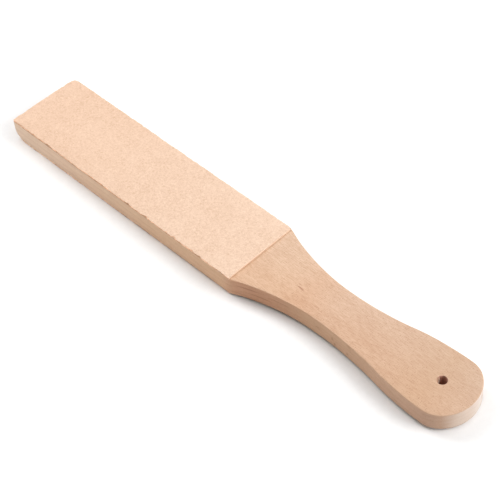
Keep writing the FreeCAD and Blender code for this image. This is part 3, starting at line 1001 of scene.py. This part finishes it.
def build_edge_fibres():
    """Loose fibres that the knife left along the front strip's cut edges."""
    random = np.random.default_rng(77)
    loose = random.uniform(0, FRONT_OUTLINE.total, LOOSE_FIBRES)
    # The near side starts where the tip's near corner ends, its radius away from the tip
    at_tip = FRONT_OUTLINE.starts[1] - NEAR_CORNER_RADIUS
    tufted = [at_tip + place + random.normal(0, spread, many) for place, spread, many in TUFTS]
    s = np.concatenate([loose] + tufted)
    count = len(s)
    longer = np.where(np.arange(count) < LOOSE_FIBRES, 1.0, 1.6)
    points, normals = FRONT_OUTLINE.at(s)
    top = FRONT_HIGH.z / MM
    roots = np.column_stack([points - normals * 0.22, top - random.uniform(0.06, 0.30, count)])
    sideways = np.column_stack([-normals[:, 1], normals[:, 0]]) * random.normal(0, 0.9, (count, 1))
    rise = random.uniform(-0.5, 0.35, count)
    directions = np.column_stack([normals * random.uniform(0.3, 1.0, (count, 1)) + sideways, rise])
    lengths = random.uniform(0.25, 0.6, count) * longer
    widths = random.uniform(0.05, 0.10, count) * longer
    curls = np.column_stack([random.normal(0, 0.25, (count, 2)), random.uniform(-0.5, -0.1, count)])
    fibres(
        "front_edge_fibres", lay_front(roots), directions, lengths, widths, curls, SUEDE,
    )


def build_hole_splinters():
    """Torn grain at the hole's rim, where the drill came up against the fibres."""
    random = np.random.default_rng(5)
    count = 9
    towards_blade = math.pi + 0.42
    angle = towards_blade + random.normal(0, 0.3, count)
    rim = np.column_stack([np.cos(angle), np.sin(angle)])
    flat = np.array([HOLE_X, HOLE_Y]) + rim * (HOLE_RADIUS + 0.10)
    roots = np.column_stack([flat, WOOD_TOP - random.uniform(0.25, 0.6, count)])
    directions = np.column_stack([
        np.ones(count), random.normal(0, 0.12, count), random.uniform(-0.1, 0.12, count),
    ])
    lengths = random.uniform(1.0, 2.2, count)
    widths = random.uniform(0.35, 0.70, count)
    curls = np.column_stack([
        np.zeros(count), random.normal(0, 0.1, count), random.uniform(-0.15, 0.05, count),
    ])
    fibres("hole_splinters", roots, directions, lengths, widths, curls, BEECH)


# ---------------------------------------------------------------- the pieces

build_paddle()
front = build_leather(
    "front_suede_strip", "front_leather", FRONT_OUTLINE, 100, True, 1.0, CUT_EDGE, lay_front,
    NICKS,
)
back = build_leather(
    "back_suede_strip", "back_leather", BACK_OUTLINE, 200, False, 0.3, LIFTED_BACK_CUT_EDGE, lay_back
)
build_cement("front_cement_film", "front_glue_layer", FRONT_OUTLINE, 300, lay_front)
build_cement("back_cement_film", "back_glue_layer", BACK_OUTLINE, 310, lay_back)
build_edge_fibres()
build_hole_splinters()


# ---------------------------------------------------------------- floor, light and camera

FADE_START, FADE_END = 240.0, 620.0  # millimetres from the middle of the strop


def build_floor():
    """White paper, a hair below the strop."""
    mesh = bpy.data.meshes.new("floor")
    half, below = 4.0, -0.02 * MM
    corners = [(-half, -half), (half, -half), (half, half), (-half, half)]
    mesh.from_pydata([(*corner, below) for corner in corners], [], [(0, 1, 2, 3)])
    floor = bpy.data.objects.new("floor", mesh)
    bpy.context.scene.collection.objects.link(floor)
    m = Shader("white_paper")
    grain = m.noise(m.stretched(3.0, 3.0, 3.0), detail=2.0)
    # Away from the strop the paper fades to white, as the sweep behind it does
    seen = m.node("ShaderNodeLightPath").outputs["Is Camera Ray"]
    far = m.band(m.vector("LENGTH", m.mm), FADE_START, FADE_END, 0.0, 0.8)
    mesh.materials.append(m.finished({
        "Base Color": m.ramp(grain, [(0.3, (0.86,) * 3), (0.7, (0.88,) * 3)]),
        "Roughness": 0.95,
        "Specular IOR Level": 0.1,
        "Emission Color": (1.0, 1.0, 1.0, 1.0),
        "Emission Strength": m.math("MULTIPLY", far, seen),
    }))


def heading(azimuth, elevation):
    """The unit vector towards an azimuth, from -Y towards +X, and an elevation, in degrees."""
    a, e = math.radians(azimuth), math.radians(elevation)
    return Vector((math.sin(a) * math.cos(e), -math.cos(a) * math.cos(e), math.sin(e)))


# Name, azimuth, elevation, distance, size and power
LAMPS = [
    ("key_light", 120.0, 35.0, 1.2, 0.7, 7.0),
    ("second_key", 100.0, 35.0, 1.2, 0.7, 4.7),
    ("high_light", 150.0, 60.0, 1.2, 0.7, 2.4),
    ("tip_light", -80.0, 45.0, 1.0, 0.5, 3.6),
    ("low_tip_light", -80.0, 20.0, 1.0, 0.5, 1.6),
    ("high_tip_light", -100.0, 60.0, 1.0, 0.5, 2.25),
]


def area_light(name, azimuth, elevation, distance, size, power):
    """A round lamp that looks at the middle of the strop."""
    light = bpy.data.lights.new(name, "AREA")
    light.shape = "DISK"
    light.size = size
    light.energy = power
    lamp = bpy.data.objects.new(name, light)
    towards = heading(azimuth, elevation)
    lamp.location = towards * distance
    lamp.rotation_euler = towards.to_track_quat("Z", "Y").to_euler()
    bpy.context.scene.collection.objects.link(lamp)


def build_lights():
    """The white sweep round the strop, and six soft lamps."""
    world = bpy.data.worlds.new("studio")
    world.use_nodes = True
    tree = world.node_tree
    background = tree.nodes["Background"]
    background.inputs["Color"].default_value = (1.0, 1.0, 1.0, 1.0)
    # The sweep looks white, and lights the strop softly
    path = tree.nodes.new("ShaderNodeLightPath")
    strength = tree.nodes.new("ShaderNodeMapRange")
    tree.links.new(path.outputs["Is Camera Ray"], strength.inputs["Value"])
    strength.inputs["To Min"].default_value = 0.275
    strength.inputs["To Max"].default_value = 1.0
    tree.links.new(strength.outputs[0], background.inputs["Strength"])
    bpy.context.scene.world = world
    for lamp in LAMPS:
        area_light(*lamp)


# The camera as the strop was pictured: which way it looks from, and how far
VIEW_AZIMUTH, VIEW_ELEVATION, VIEW_ROLL = 49.38, 48.389, 5.653
VIEW_TARGET = Vector((3.781 * MM, 5.884 * MM, 0.0))
VIEW_DISTANCE = 0.84256
LENS, SENSOR = 106.01, 36.0


def build_camera():
    """The camera, rolled a little round the way it looks."""
    optics = bpy.data.cameras.new("camera")
    optics.lens = LENS
    optics.sensor_width = SENSOR
    optics.clip_start = 0.01
    camera = bpy.data.objects.new("camera", optics)
    back = heading(VIEW_AZIMUTH, VIEW_ELEVATION)
    right = (-back).cross(Vector((0, 0, 1))).normalized()
    down = (-back).cross(right)
    c, s = math.cos(math.radians(VIEW_ROLL)), math.sin(math.radians(VIEW_ROLL))
    turned_right = c * right + s * down
    turned_up = s * right - c * down
    turn = Matrix((turned_right, turned_up, back)).transposed()
    camera.matrix_world = Matrix.Translation(VIEW_TARGET + back * VIEW_DISTANCE) @ turn.to_4x4()
    bpy.context.scene.collection.objects.link(camera)
    bpy.context.scene.camera = camera


build_floor()
build_lights()
build_camera()
bpy.context.scene.view_settings.view_transform = "Standard"
